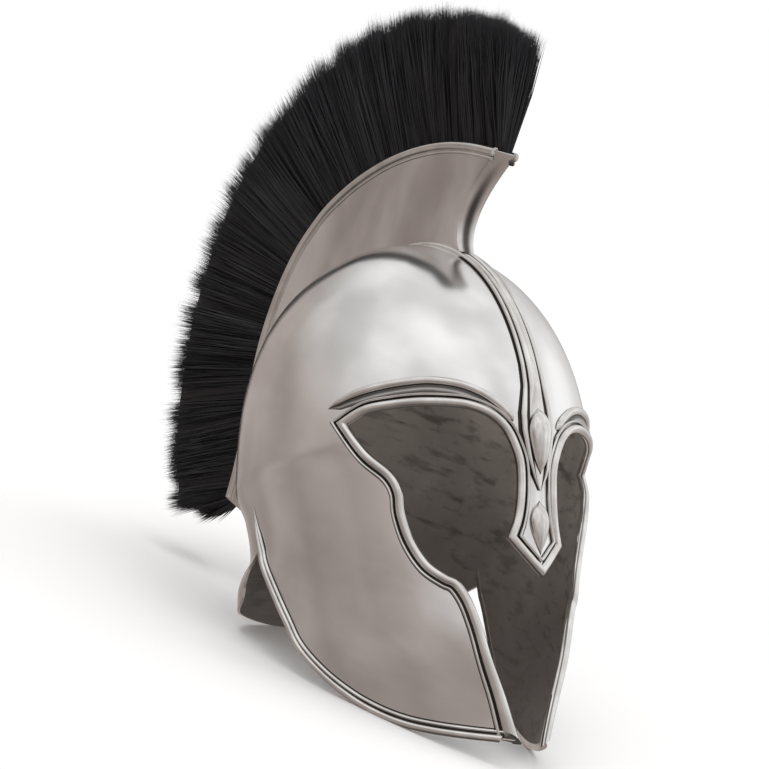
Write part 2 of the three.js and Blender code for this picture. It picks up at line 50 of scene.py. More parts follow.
eye = skull + view_back * view_distance - view_right * frame_left + view_up * frame_up
camera = bpy.data.objects.new("camera", bpy.data.cameras.new("camera"))
camera.data.lens = 185.8
camera.data.sensor_width = 36
camera.data.clip_end = 50
camera.matrix_world = Matrix.Translation(eye) @ Matrix((view_right, view_up, view_back)).transposed().to_4x4()
bpy.context.collection.objects.link(camera)
bpy.context.scene.camera = camera

# The shell is one sheet of steel, raised into a bowl with cheek pieces, neck guard and nasal, and polished.
# It is laid out flat by bearing and height, cut to its outline there, and then bent round the skull.
# Lengths are in millimetres as the helmet is worn: X to the wearer's left, the face along -Y, Z up.
SPRING, CROWN, SHEET = -10, 144.5, 1.6
WALL_HEIGHTS = [-210, -165, -125, -98, -75, -66, -57, -30, SPRING, SPRING + 20]
WALL = {
    "side": [45.1, 62.4, 79.6, 85, 89.7, 91.7, 93.8, 100.5, 105.8, 105.8],
    "nape": [74, 87, 95, 146, 148, 136, 112, 100.5, 105.8, 105.8],
    "front": [125.3, 128.8, 123.5, 122.2, 121.3, 121.1, 121, 121, 121, 121],
    "back": [134, 131, 129, 121, 116, 113.5, 108.5, 114.5, 122, 122],
    "prow": [67.3, 44.7, 19, 14.9, 12.5, 11.2, 10, 8, 7, 7],
}
FULLNESS = {"side": 2.18, "nape": 2.18, "front": 1.95, "back": 3}
ROUND_HANDLE = 0.5523
CHEEK_EDGE = [
    (2.1, -207.7), (5.5, -193.6), (10.4, -165.9), (14.8, -144), (18.2, -124.1), (21.3, -108.5),
    (24.9, -98.2), (28.4, -94.6), (34.5, -85.9), (39.7, -71.2), (42.7, -55.1), (43.5, -41.8),
    (46.7, -31), (54.6, -17.6), (62, 2),
]
EYE_EDGE = [
    (62, 2), (54.6, 8.6), (45.9, 10.6), (37.8, 11.6), (29.9, 11.4), (22.6, 10.2), (15.8, 5.6), (11.1, -2.2),
    (8.2, -12.8), (6.6, -23.4), (6.3, -37), (6.7, -50), (7.6, -60), (9.2, -69.5),
]
NASAL_TIP = (0, -90)
CHEEK_LOWER = [
    (3.3, -192.8), (11.6, -189.5), (21.9, -185.9), (31.9, -182.3), (43.8, -177.3), (57.9, -169.3),
    (72.8, -158.3), (86.7, -143.6), (98.8, -123.8), (104.2, -106.7), (109.2, -86.7), (113.3, -66.7),
    (115.3, -54.2),
]
GUARD_LOWER = [
    (115.3, -54.2), (121.5, -58.2), (126.3, -64), (128.6, -71), (130.6, -77.5), (133.5, -82.3), (140, -84.6),
    (153, -83.4), (166, -83), (180, -83),
]


def eased(xs, ys, at):
    """A curve through points that never swings past them, read off at many places."""
    xs, ys = np.array(xs, float), np.array(ys, float)
    slope = np.diff(ys) / np.diff(xs)
    before, after = slope[:-1], slope[1:]
    total = np.where(before + after == 0, 1, before + after)
    inner = np.where(before * after <= 0, 0, 2 * before * after / total)
    tangent = np.concatenate([slope[:1], inner, slope[-1:]])
    at = np.clip(at, xs[0], xs[-1])
    i = np.clip(np.searchsorted(xs, at) - 1, 0, len(xs) - 2)
    step = xs[i + 1] - xs[i]
    t = (at - xs[i]) / step
    rise = 3 * t**2 - 2 * t**3
    bend = tangent[i] * (t**3 - 2 * t**2 + t) + tangent[i + 1] * (t**3 - t**2)
    return ys[i] * (1 - rise) + ys[i + 1] * rise + step * bend


def wall(bearing, height):
    """Points of the shell's outer face by bearing from straight ahead and by height."""
    bearing, height = np.broadcast_arrays(np.asarray(bearing, float), np.asarray(height, float))
    low = np.minimum(height, SPRING)
    rise = np.clip((height - SPRING) / (CROWN - SPRING), 0, 1)

    def reach(name):
        power = FULLNESS[name]
        return eased(WALL_HEIGHTS, WALL[name], low) * (1 - rise**power) ** (1 / power)

    side, nape, front, back = (reach(name) for name in ("side", "nape", "front", "back"))
    prow = np.radians(eased(WALL_HEIGHTS, WALL["prow"], low) * (1 - rise) ** 2)
    first, last = np.zeros(bearing.shape), np.ones(bearing.shape)
    for _ in range(32):
        way = (first + last) / 2
        ahead = way <= 0.5
        t = np.abs(1 - 2 * way)
        s = 1 - t
        far = np.where(ahead, front, back)
        sweep = np.where(ahead, prow, 0)
        x = side * (s**3 + 3 * t * s**2) + 3 * ROUND_HANDLE * np.where(ahead, side, nape) * t**2 * s
        handle = ROUND_HANDLE * far * (1 - 0.25 * np.sin(sweep))
        y = 3 * handle * t * s**2 + 3 * (far - ROUND_HANDLE * side * np.tan(sweep)) * t**2 * s + far * t**3
        y = np.where(ahead, -y, y)
        short = np.arctan2(x, -y) < np.radians(np.abs(bearing))
        first, last = np.where(short, way, first), np.where(short, last, way)
    return np.stack([np.sign(bearing) * x, y, height], axis=-1)


def raised(surface, a, b, out, steps):
    """Points at a distance over a surface of two coordinates."""
    across = surface(a + steps[0], b) - surface(a - steps[0], b)
    along = surface(a, b + steps[1]) - surface(a, b - steps[1])
    normal = np.cross(across, along)
    normal /= np.linalg.norm(normal, axis=-1, keepdims=True)
    return surface(a, b) + normal * np.asarray(out)[..., None]


def over_wall(bearing, height, out):
    return raised(wall, np.asarray(bearing, float), np.asarray(height, float), out, (0.4, 0.8))


def standing(points):
    """Points of the upright helmet in metres, leaned back onto the table."""
    turn = np.array(lean)
    return points @ turn.T / 1000 + np.array(skull)


def smooth_way(rows, steps=14):
    """A smooth way through a list of bearings and heights."""
    points = np.array(rows, float)
    padded = np.concatenate([points[:1], points, points[-1:]])
    t = np.linspace(0, 1, steps, endpoint=False)[:, None]
    spans = []
    for a, b, c, d in zip(padded, padded[1:], padded[2:], padded[3:]):
        v, w = (c - a) / 2, (d - b) / 2
        spans.append(b + v * t + (3 * (c - b) - 2 * v - w) * t**2 + (2 * (b - c) + v + w) * t**3)
    return np.concatenate(spans + [points[-1:]])


def edit(*steps):
    """Edit-mode operators on everything in the active piece, one after the other."""
    bpy.ops.object.mode_set(mode="EDIT")
    bpy.ops.mesh.select_all(action="SELECT")
    for step, settings in steps:
        step(**settings)
    bpy.ops.object.mode_set(mode="OBJECT")


def apply_modifier(piece, kind, **settings):
    modifier = piece.modifiers.new(kind.lower(), kind)
    for name, value in settings.items():
        setattr(modifier, name, value)
    bpy.ops.object.modifier_apply(modifier=modifier.name)


def laid_flat(name, along, around):
    """A flat sheet of squares, one unit wide and long, as the start of a piece."""
    bpy.ops.object.select_all(action="DESELECT")
    bpy.ops.mesh.primitive_grid_add(x_subdivisions=along, y_subdivisions=around, size=1)
    piece = bpy.context.object
    piece.name = piece.data.name = name
    return piece


def spots(piece):
    places = np.empty(len(piece.data.vertices) * 3)
    piece.data.vertices.foreach_get("co", places)
    return places.reshape(-1, 3)


def move(piece, places):
    piece.data.vertices.foreach_set("co", np.ascontiguousarray(places).ravel())
    piece.data.update()


def take_up(piece):
    """Makes a piece the only one that the next operators act on."""
    bpy.ops.object.select_all(action="DESELECT")
    piece.select_set(True)
    bpy.context.view_layer.objects.active = piece


def prism(outline):
    """A cutter through the flat sheet with an outline."""
    mesh = bpy.data.meshes.new("cutter")
    mesh.from_pydata([(x, y, 5) for x, y in outline], [], [list(range(len(outline)))])
    cutter = bpy.data.objects.new("cutter", mesh)
    bpy.context.collection.objects.link(cutter)
    take_up(cutter)
    edit((bpy.ops.mesh.extrude_region_move, {"TRANSFORM_OT_translate": {"value": (0, 0, -20)}}),
         (bpy.ops.mesh.select_all, {"action": "SELECT"}),
         (bpy.ops.mesh.normals_make_consistent, {"inside": False}))
    return cutter


def mirrored(way):
    return np.asarray(way) * (-1, 1)


def level(height):
    """Height on the flat sheet, stretched over the dome so that its squares stay even."""
    height = np.asarray(height, float)
    share = np.clip((height - SPRING) / (CROWN - SPRING), 0, 1)
    return np.where(height < SPRING, height, SPRING + (CROWN - SPRING) * np.arcsin(share))


face_way = np.concatenate([smooth_way(CHEEK_EDGE), smooth_way(EYE_EDGE)[1:], [NASAL_TIP]])
lower_way = np.concatenate([smooth_way(CHEEK_LOWER), smooth_way(GUARD_LOWER)[1:]])
LOWEST, FLAT_TOP = -206, float(level(CROWN - 0.04))
shell = laid_flat("shell_sheet", 240, 150)
flat = spots(shell)
tall = LOWEST + (FLAT_TOP - LOWEST) * (flat[:, 1] + 0.5)
move(shell, np.stack([360 * flat[:, 0], tall, flat[:, 2]], 1))
apply_modifier(shell, "SOLIDIFY", thickness=10, offset=-1)
face_hole = np.concatenate([face_way, mirrored(face_way)[-2::-1]])
under = [(181, -83), (181, -230), (-181, -230), (-181, -83)]
below = np.concatenate([mirrored(lower_way)[::-1], lower_way, under])
for outline in (face_hole, below):
    cutter = prism(np.stack([outline[:, 0], level(outline[:, 1])], 1))
    take_up(shell)
    apply_modifier(shell, "BOOLEAN", object=cutter, operation="DIFFERENCE", solver="EXACT")
    bpy.data.objects.remove(cutter)
flat = spots(shell)
inside = flat[:, 2] < -9.9
seam = (np.abs(flat[:, 0]) > 179.99) | (flat[:, 1] > FLAT_TOP - 0.01)
bpy.ops.object.mode_set(mode="EDIT")
bpy.ops.mesh.select_mode(type="FACE")
bpy.ops.mesh.select_all(action="DESELECT")
bpy.ops.object.mode_set(mode="OBJECT")
for face in shell.data.polygons:
    corners = list(face.vertices)
    depth = inside[corners]
    face.material_index = int(depth.all())
    face.select = bool(seam[corners].all() and depth.any() and not depth.all())
bpy.ops.object.mode_set(mode="EDIT")
bpy.ops.mesh.delete(type="FACE")
bpy.ops.object.mode_set(mode="OBJECT")
flat = spots(shell)
stretch = np.clip((flat[:, 1] - SPRING) / (CROWN - SPRING), 0, pi / 2)
height = np.where(flat[:, 1] < SPRING, flat[:, 1], SPRING + (CROWN - SPRING) * np.sin(stretch))
move(shell, standing(over_wall(flat[:, 0], height, SHEET * flat[:, 2] / 10)))
table_plane = {"plane_co": (0, 0, 0), "plane_no": (0, 0, 1)}
edit((bpy.ops.mesh.remove_doubles, {"threshold": 2e-5}),
     (bpy.ops.mesh.bisect, {**table_plane, "clear_inner": True, "use_fill": True}),
     (bpy.ops.mesh.select_all, {"action": "SELECT"}),
     (bpy.ops.mesh.fill_holes, {"sides": 0}),
     (bpy.ops.mesh.select_all, {"action": "SELECT"}),
     (bpy.ops.mesh.normals_make_consistent, {"inside": False}))
bpy.ops.object.shade_smooth_by_angle(angle=radians(35))


class Flow:
    """A value on its way through a material's nodes."""

    def __init__(self, tree, socket=None):
        self.tree = tree
        self.socket = socket

    def node(self, kind, settings, inputs, output=0):
        made = self.tree.nodes.new(kind)
        for name, value in settings.items():
            if name == "stops":
                ramp = made.color_ramp.elements
                while len(ramp) < len(value):
                    ramp.new(0.5)
                for stop, (place, colour) in zip(ramp, value):
                    stop.position = place
                    stop.color = (*colour, 1)
            else:
                setattr(made, name, value)
        self.feed(made, inputs)
        return Flow(self.tree, made.outputs[output])

    def feed(self, made, inputs):
        for name, value in inputs.items():
            if isinstance(value, Flow):
                self.tree.links.new(value.socket, made.inputs[name])
            else:
                made.inputs[name].default_value = value

    def math(self, operation, first, second):
        return self.node("ShaderNodeMath", {"operation": operation}, {0: first, 1: second})

    def __add__(self, other):
        return self.math("ADD", self, other)

    __radd__ = __add__

    def __sub__(self, other):
        return self.math("SUBTRACT", self, other)

    def __rsub__(self, other):
        return self.math("SUBTRACT", other, self)

    def __mul__(self, other):
        return self.math("MULTIPLY", self, other)

    __rmul__ = __mul__

    def place(self, stretch=(1, 1, 1)):
        """Object coordinates, stretched."""
        spot = self.node("ShaderNodeTexCoord", {}, {}, "Object")
        return self.node("ShaderNodeMapping", {}, {"Vector": spot, "Scale": stretch})

    def cloud(self, scale, detail=3, stretch=(1, 1, 1)):
        spot = self.place(stretch)
        return self.node("ShaderNodeTexNoise", {}, {"Vector": spot, "Scale": scale, "Detail": detail})

    def between(self, low, high):
        """A soft mask that is 0 below one value and 1 above the other."""
        return self.node("ShaderNodeMapRange", {"interpolation_type": "SMOOTHSTEP"},
                         {"Value": self, "From Min": low, "From Max": high})

    def tint(self, low, high):
        """A colour between two, by this value."""
        low, high = (end if isinstance(end, Flow) else (*end, 1) for end in (low, high))
        ends = {"Factor": self, "A": low, "B": high}
        return self.node("ShaderNodeMix", {"data_type": "RGBA"}, ends, "Result")

    def attribute(self, name):
        return self.node("ShaderNodeAttribute", {"attribute_name": name}, {}, "Fac")

    def bump(self, strength, distance):
        return self.node("ShaderNodeBump", {}, {"Height": self, "Strength": strength, "Distance": distance})


def new_finish(name):
    finish = bpy.data.materials.new(name)
    finish.use_nodes = True
    return finish, Flow(finish.node_tree), finish.node_tree.nodes["Principled BSDF"]


polished_steel, flow, shader = new_finish("polished_steel")
polish = flow.cloud(8, 4, (1, 1, 2)).between(0.33, 0.63)
flow.feed(shader, {
    "Metallic": 1.0,
    "Base Color": polish.tint((0.68, 0.665, 0.655), (0.85, 0.845, 0.84)),
    "Roughness": 0.15 + flow.cloud(30, 3) * 0.08,
    "Normal": flow.cloud(10, 2).bump(0.2, 0.006),
})
raw_steel, flow, shader = new_finish("raw_steel")
patches, pits = flow.cloud(16, 6), flow.cloud(150, 3).between(0.6, 0.72)
ground = flow.cloud(70, 6, (0.5, 0.8, 2.4))
# The inner steel is painted darker toward the table and lighter higher up: painted shade and light. Its
# patches, streaks and pits are its own wear.
painted_height_light = flow.node("ShaderNodeSeparateXYZ", {}, {"Vector": flow.place()}, "Z").between(0.03, 0.2)
streaks = ground.between(0.3, 0.5)
wear_and_shade = (patches.between(0.3, 0.7) * 0.3 + streaks * 0.3 - pits * 0.1 + 0.12) * (0.36 + painted_height_light * 1.1)
flow.feed(shader, {
    "Metallic": 0.2,
    "Base Color": wear_and_shade.tint((0.09, 0.08, 0.07), (0.6, 0.552, 0.513)),
    "Roughness": 0.5 + patches * 0.2,
    "Normal": (patches + streaks * 0.5).bump(0.3, 0.002),
})
shell.data.materials.append(polished_steel)
shell.data.materials.append(raw_steel)
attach(shell, "root")
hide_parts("shell")

# The face trims are beaded strips of steel, rolled over the edge of the opening and soldered on. One runs up
# each cheek, round the eye and down the nasal, and the two are mitred together at the nasal's tip.
beaded_steel, flow, shader = new_finish("beaded_steel")
# Grooves and feet are painted near black and rougher: painted shade, with a little dirt.
grime = flow.attribute("grime").between(0.3, 1.0)
bare_tone = flow.cloud(60, 3).between(0.35, 0.65).tint((0.66, 0.64, 0.62), (0.78, 0.77, 0.75))
flow.feed(shader, {
    "Metallic": 1.0,
    "Base Color": grime.tint(bare_tone, (0.05, 0.045, 0.04)),
    "Roughness": 0.12 + flow.cloud(150, 3) * 0.08 + grime * 0.3,
    "Normal": flow.cloud(120, 2).bump(0.06, 0.001),
})


def bead(start, end, height, low=0.0, count=9):
    """Points over a round bead of a section, from one foot to the other."""
    turn = np.linspace(0, pi, count)
    middle, half = (start + end) / 2, (start - end) / 2
    return np.stack([middle + half * np.cos(turn), low + (height - low) * np.sin(turn)], 1)


def even(way, spacing, corners=()):
    """A way in even steps, with its corners kept and no step close beside them."""
    arms = np.split(np.asarray(way), corners) if len(corners) else [np.asarray(way)]
    kept = []
    for i, arm in enumerate(arms):
        whole = np.concatenate([arms[i - 1][-1:], arm]) if i else arm
        places = wall(whole[:, 0], whole[:, 1])
        run = np.concatenate([[0], np.cumsum(np.linalg.norm(np.diff(places, axis=0), axis=1))])
        marks = np.linspace(0, run[-1], max(int(run[-1] / spacing), 1) + 1)
        kept.append(np.stack([np.interp(marks, run, whole[:, k]) for k in (0, 1)], 1)[1 if i else 0:])
    return np.concatenate(kept)


def numbered(places, count):
    """Whole numbers along a flat sheet, from 0 at one side to the count at the other."""
    return np.rint((places + 0.5) * count).astype(int)


def close_up():
    """Joins the seam of the active piece, caps its open ends and turns its faces outwards."""
    edit((bpy.ops.mesh.remove_doubles, {"threshold": 1e-6}),
         (bpy.ops.mesh.fill_holes, {"sides": 0}),
         (bpy.ops.mesh.select_all, {"action": "SELECT"}),
         (bpy.ops.mesh.normals_make_consistent, {"inside": False}))


def paint_shade_and_grime(piece, amount):
    """Marks how dark the steel is painted at each point: painted shade in the grooves and at the feet, with a
    little dirt.
    """
    marks = piece.data.attributes.new("grime", "FLOAT", "POINT")
    marks.data.foreach_set("value", np.clip(amount, 0, 1))


def strip(name, way, side, section, taper=None):
    """A strip laid along a way on the shell, its section measured in from the edge and out from the sheet."""
    way = np.asarray(way, float)
    places = wall(way[:, 0], way[:, 1])
    per_degree = np.radians(np.hypot(places[:, 0], places[:, 1]))
    step = np.diff(way, axis=0)
    before, after = np.concatenate([step[:1], step]), np.concatenate([step, step[-1:]])
    scale = np.stack([per_degree, np.ones(len(way))], 1)
    before, after = before * scale, after * scale
    before /= np.linalg.norm(before, axis=1, keepdims=True)
    after /= np.linalg.norm(after, axis=1, keepdims=True)
    ahead = before + after
    ahead /= np.linalg.norm(ahead, axis=1, keepdims=True)
    mitre = np.minimum(1 / np.sum(ahead * before, axis=1), 1.6)
    size = np.ones(len(way)) if taper is None else taper
    piece = laid_flat(name, len(way) - 1, len(section))
    flat = spots(piece)
    i = numbered(flat[:, 0], len(way) - 1)
    j = numbered(flat[:, 1], len(section)) % len(section)
    across, out = section[j, 0] * size[i] * mitre[i], section[j, 1] * size[i]
    bearing = way[i, 0] + side * across * ahead[i, 1] / per_degree[i]
    height = way[i, 1] - side * across * ahead[i, 0]
    move(piece, standing(over_wall(bearing, height, out)))
    # Painted shade darkens the low parts of the section, most of all in the grooves.
    paint_shade_and_grime(piece, np.where(section[j, 1] > -0.35, 1 - section[j, 1] / section[:, 1].max() / 0.55, 0))
    close_up()
    return piece


def trim_off(point, normal):
    """Cuts the active piece off at a plane of the upright helmet and closes the cut."""
    spot = standing(np.array([point], float))[0]
    facing = lean @ Vector(normal)
    edit((bpy.ops.mesh.bisect, {"plane_co": spot, "plane_no": facing, "clear_inner": True, "use_fill": True}),
         (bpy.ops.mesh.select_all, {"action": "SELECT"}),
         (bpy.ops.mesh.normals_make_consistent, {"inside": False}))


def set_on(piece, node, finish):
    """Smooths a finished piece and lets it stand for its CAD node."""
    bpy.ops.object.shade_smooth_by_angle(angle=radians(38))
    piece.data.materials.append(finish)
    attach(piece, "root")
    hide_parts(node)


FACE_SECTION = np.concatenate([
    [(7.1, -0.3), (6.9, 0.1), (6.5, 0.1)], bead(6.4, 4.4, 2.1),
    [(4.2, 0.1), (3.7, 0.1)], bead(3.5, -1.7, 3.1, 0.2, 15),
    [(-1.8, -1.0), (-1.3, -2.0), (-0.3, -2.3), (1.4, -2.2), (1.9, -1.5), (6.6, -1.2)],
])
cheek_part = even(smooth_way(CHEEK_EDGE), 2.2)
eye_part = even(smooth_way(EYE_EDGE), 2.2)
nasal_corner, nasal_tip = np.array(EYE_EDGE[-1]), np.array(NASAL_TIP)
tip_part = [nasal_corner + (nasal_tip - nasal_corner) * share for share in (0.5, 0.75, 1)]
past_tip = [(-0.4 * nasal_corner[0], 1.09 * nasal_tip[1])]
trim_way = np.concatenate([cheek_part, eye_part[1:-4], eye_part[-1:], tip_part, past_tip])
for hand, side in (("left", 1), ("right", -1)):
    trim = strip(f"face_trim_{hand}_beads", trim_way * (side, 1), side, FACE_SECTION)
    trim_off((side * 0.05, 0, 0), (side, 0, 0))
    (low_turn, low_height), (high_turn, high_height) = CHEEK_LOWER[:2]
    low, high = wall([side * low_turn, side * high_turn], [low_height, high_height])
    trim_off(low, Vector((high[0], high[1], 0)).cross(Vector(high - low)) * side)
    set_on(trim, f"face_trim_{hand}", beaded_steel)

# The lower trims are beaded strips along the lower edge of each cheek piece, from beside the face trim back
# and up to the notch, where they fade into the side.
LOWER_SECTION = np.concatenate([
    [(6.0, -0.3), (5.8, 0.1), (5.4, 0.1)], bead(5.3, 3.4, 1.9),
    [(3.2, 0.1), (2.9, 0.1)], bead(2.7, -1.7, 2.8, 0.2, 13),
    [(-1.8, -1.0), (-1.3, -2.0), (-0.3, -2.3), (1.4, -2.2), (1.9, -1.5), (5.5, -1.2)],
])
NOTCH_TAIL = [(116, -45.4), (115.8, -36.7), (115, -30)]
LOWER_START = (8.9, -190.6)
lower_edge = even(smooth_way([LOWER_START] + CHEEK_LOWER[1:]), 2.5)[:-3]
tail = even(smooth_way([CHEEK_LOWER[-1]] + NOTCH_TAIL), 2.5)[2:]
fade = np.concatenate([np.ones(len(lower_edge)), np.linspace(1, 0.15, len(tail))])
upright = lean.inverted()
for hand, side in (("left", 1), ("right", -1)):
    way = np.concatenate([lower_edge, tail]) * (side, 1)
    trim = strip(f"lower_trim_{hand}_beads", way, -side, LOWER_SECTION, fade)
    trim_off(upright @ Vector((0, 0, -1000 * skull.z)), upright @ Vector((0, 0, 1)))
    set_on(trim, f"lower_trim_{hand}", beaded_steel)

# The brow ridges are round beads over the eyes, drawn out to a point at both ends. Under each runs a shallow
# channel with a thin line along it, down to the face trim.
BROW = [
    (68, 13.6, 0.2), (64.4, 16.6, 1.8), (58, 20.6, 2.5), (50, 23.6, 2.6), (41, 25.6, 2.6), (33.7, 26.3, 2.6),
    (24.5, 24, 2.6), (17.6, 19, 2.6), (12.8, 12.8, 2.6), (10.4, 8.4, 2.5), (8.9, 5, 1.9), (8.2, 3, 0.2),
]
CHANNEL = [(-1.1, 0.08), (-1.5, 0.06), (-1.9, 0.14), (-2.2, 0.22), (-2.5, 0.14), (-2.8, 0.06), (-3.1, 0.1)]
BROW_SECTION = np.concatenate([bead(1, -1, 1, 0, 13), CHANNEL, [(-3.15, -0.1), (0, -0.12)]])
brow_way = even(smooth_way([(b, h) for b, h, _ in BROW]), 2)
brow_half = np.interp(-brow_way[:, 0], [-b for b, _, _ in BROW], [half for _, _, half in BROW])
for hand, side in (("left", 1), ("right", -1)):
    ridge = strip(f"brow_ridge_{hand}_bead", brow_way * (side, 1), side, BROW_SECTION, brow_half)
    set_on(ridge, f"brow_ridge_{hand}", beaded_steel)

# The centre ridge is a strap with a bead along each edge and one along its middle. It runs from the nasal up
# the forehead and over the crown, and the crest stands on it.
CREST_FRONT, CREST_REAR = 68, 197.6


def crown(offset, angle):
    """Points of the shell's face by offset from the middle plane and angle over the crown."""
    offset, angle = np.broadcast_arrays(np.asarray(offset, float), np.radians(np.asarray(angle, float)))
    near, far = np.zeros(offset.shape), np.full(offset.shape, 220.0)
    for _ in range(28):
        middle = (near + far) / 2
        y, z = -np.cos(angle) * middle, np.sin(angle) * middle
        met = wall(np.degrees(np.arctan2(offset, -y)), np.minimum(z, CROWN))
        within = (z < CROWN) & (np.hypot(offset, y) < np.hypot(met[..., 0], met[..., 1]))
        near, far = np.where(within, middle, near), np.where(within, far, middle)
    return np.stack([offset, -np.cos(angle) * near, np.sin(angle) * near], axis=-1)


def over_crown(offset, angle, out):
    return raised(crown, np.asarray(offset, float), np.asarray(angle, float), out, (1, 0.6))


RIDGE_ANGLES = [-17.6, -14, -9, -5, -1, 4, 8, 13, 20, 60, 72]
RIDGE_HALF = [0.8, 5, 8.2, 10.2, 12, 12, 10.6, 8.6, 7.7, 7.7, 9]
RIDGE_BEAD = [0.3, 0.3, 0.3, 0.3, 0.3, 0.3, 1, 2.6, 3, 3, 3]
angles = np.concatenate([np.linspace(-17.6, 20, 46), np.linspace(20, CREST_REAR, 120)[1:]])
edge_bead, middle_bead = bead(1, 0.68, 1, 0, 9), bead(0.5, -0.5, 1, 0, 15)
flange = [(1.17, -0.4, 0), (1.15, -0.3, 0), (1.02, -0.3, 0)]
one_half = flange + [(a, b, 0) for a, b in edge_bead] + [(0.6, 0, 0)]
other_half = [(-a, b, c) for a, b, c in one_half[::-1]]
across = np.array(one_half + [(a, 0, b) for a, b in middle_bead] + other_half)
strap = laid_flat("centre_ridge_strap", len(angles) - 1, len(across))
flat = spots(strap)
i = numbered(flat[:, 0], len(angles) - 1)
j = numbered(flat[:, 1], len(across)) % len(across)
half = np.interp(angles, RIDGE_ANGLES, RIDGE_HALF)
swell = np.where(angles < CREST_FRONT - 1, np.interp(angles, RIDGE_ANGLES, RIDGE_BEAD), 0.3)
edges = np.minimum(1.8, half * 0.3)
out = 0.9 + across[j, 1] * edges[i] + across[j, 2] * (swell[i] - 0.1)
out = np.where(across[j, 1] < 0, 4 * across[j, 1] + 1.5, out)
move(strap, standing(over_crown(across[j, 0] * half[i], angles[i], out)))
# Painted shade darkens the strap's grooves, less where the crest stands over it.
open_part = np.where(angles[i] < CREST_FRONT - 2, 1, 0.3)
paint_shade_and_grime(strap, open_part - np.maximum(across[j, 1], across[j, 2]) / 0.4)
close_up()
set_on(strap, "centre_ridge", beaded_steel)

# The bosses are leaf-shaped drops of steel, raised on the forehead and on the nasal.
FOREHEAD_BOSS = [
    (6.4, 0.2, 0.1), (4, 4.6, 4), (1, 7, 6.2), (-2, 7.4, 6.6), (-6, 6, 5.6), (-10, 3.6, 3.4),
    (-13.3, 0.2, 0.1),
]
NASAL_BOSS = [
    (-20.4, 0.2, 0.1), (-22.6, 4.6, 3.4), (-25.2, 6.6, 5), (-27.8, 6, 4.8), (-30.4, 3.4, 3),
    (-33, 0.2, 0.1),
]
for node, rows, seat in (("forehead_boss", FOREHEAD_BOSS, 1.2), ("nasal_boss", NASAL_BOSS, 0)):
    turns, halves, rises = np.array(rows).T
    leaf = smooth_way(np.stack([halves, rises], 1), 8)
    angles = np.interp(np.linspace(0, len(rows) - 1, len(leaf)), np.arange(len(rows)), turns)
    boss = laid_flat(f"{node}_leaf", len(leaf) - 1, 24)
    flat = spots(boss)
    i = numbered(flat[:, 0], len(leaf) - 1)
    turn = (flat[:, 1] + 0.5) * 2 * pi
    out = seat + np.where(turn < pi, np.maximum(leaf[i, 1], 0.05) * np.sin(turn), -0.2)
    move(boss, standing(over_crown(np.maximum(leaf[i, 0], 0.1) * np.cos(turn), angles[i], out)))
    # Painted shade darkens each boss towards its foot.
    paint_shade_and_grime(boss, 1 - (out - seat) / 1.4)
    close_up()
    set_on(boss, node, beaded_steel)

# The crest holder is a narrow channel of sheet steel standing on the ridge strap, closed at both ends and
# open along its outer edge, where the plume sits.
CREST_EDGE = [
    (-92.5, 186.3), (-66, 197.6), (-37.8, 205.6), (-7, 209.4), (23.7, 208.6), (56, 202.5), (87.3, 190),
    (119.7, 165), (146.8, 126.3), (163, 85), (175, 45), (186.3, 19.5),
]
FOOT_HALF, EDGE_HALF, CREST_BOW = 5.4, 8, 14
edge_curve = smooth_way(CREST_EDGE, 40)
edge_run = np.concatenate([[0], np.cumsum(np.linalg.norm(np.diff(edge_curve, axis=0), axis=1))])
edge_run /= edge_run[-1]


def crest_edge(way):
    return np.stack([np.interp(way, edge_run, edge_curve[:, k]) for k in (0, 1)], -1)


def crest_out(way):
    """Directions along the crest's outer edge and square out from it."""
    along = crest_edge(np.minimum(way + 0.004, 1)) - crest_edge(np.maximum(way - 0.004, 0))
    along /= np.linalg.norm(along, axis=-1, keepdims=True)
    return along, np.stack([-along[..., 1], along[..., 0]], -1)


stations = np.linspace(0, 1, 100)
foot_line = over_crown(np.zeros(100), CREST_FRONT + (CREST_REAR - CREST_FRONT) * stations, np.full(100, 1.6))


def crest_point(way, share, x):
    foot = np.stack([np.interp(way, stations, foot_line[:, k]) for k in (1, 2)], -1)
    p = foot + (crest_edge(way) - foot) * share[..., None]
    hollow = 4 * share * (1 - share) * np.maximum(1 - way / 0.3, 0) ** 2
    return np.stack([x, p[..., 0] + CREST_BOW * hollow, p[..., 1]], -1)


crest_steel, flow, shader = new_finish("crest_steel")
# The marked places of the crest are painted near black: painted shade and a painted dark reflection.
grime = flow.attribute("grime").between(0.1, 1.0)
bare_tone = flow.cloud(12, 3, (1, 1.5, 0.7)).between(0.33, 0.66).tint((0.5, 0.465, 0.45), (0.78, 0.755, 0.74))
flow.feed(shader, {
    "Metallic": 0.82,
    "Base Color": grime.tint(bare_tone, (0.08, 0.073, 0.07)),
    "Roughness": 0.14 + flow.cloud(50, 4) * 0.1,
    "Normal": flow.cloud(11, 2).bump(0.6, 0.009),
})
run = np.concatenate([np.linspace(0, 1, 90), np.full(6, 1.0), np.linspace(1, 0, 90), np.full(6, 0.0)])
turning = np.linspace(1, -1, 8)[1:-1]
sideways = np.concatenate([np.full(90, 1.0), turning, np.full(90, -1.0), -turning])
holder = laid_flat("crest_holder_sheet", len(run), 20)
flat = spots(holder)
i = numbered(flat[:, 0], len(run)) % len(run)
share = flat[:, 1] + 0.5
half = FOOT_HALF + (EDGE_HALF - FOOT_HALF) * share
move(holder, standing(crest_point(run[i], share, sideways[i] * half)))
# The middle of the front end face is painted dark, a painted reflection of dark surroundings.
paint_shade_and_grime(holder, (run[i] == 0) * (1 - np.abs(sideways[i])) * (1 - share**4) * 1.2)
edit((bpy.ops.mesh.remove_doubles, {"threshold": 1e-6}),
     (bpy.ops.mesh.normals_make_consistent, {"inside": False}))
apply_modifier(holder, "SOLIDIFY", thickness=0.0013, offset=-1)
apply_modifier(holder, "BEVEL", width=0.0008, segments=2, limit_method="ANGLE", angle_limit=radians(50))
set_on(holder, "crest_holder", crest_steel)

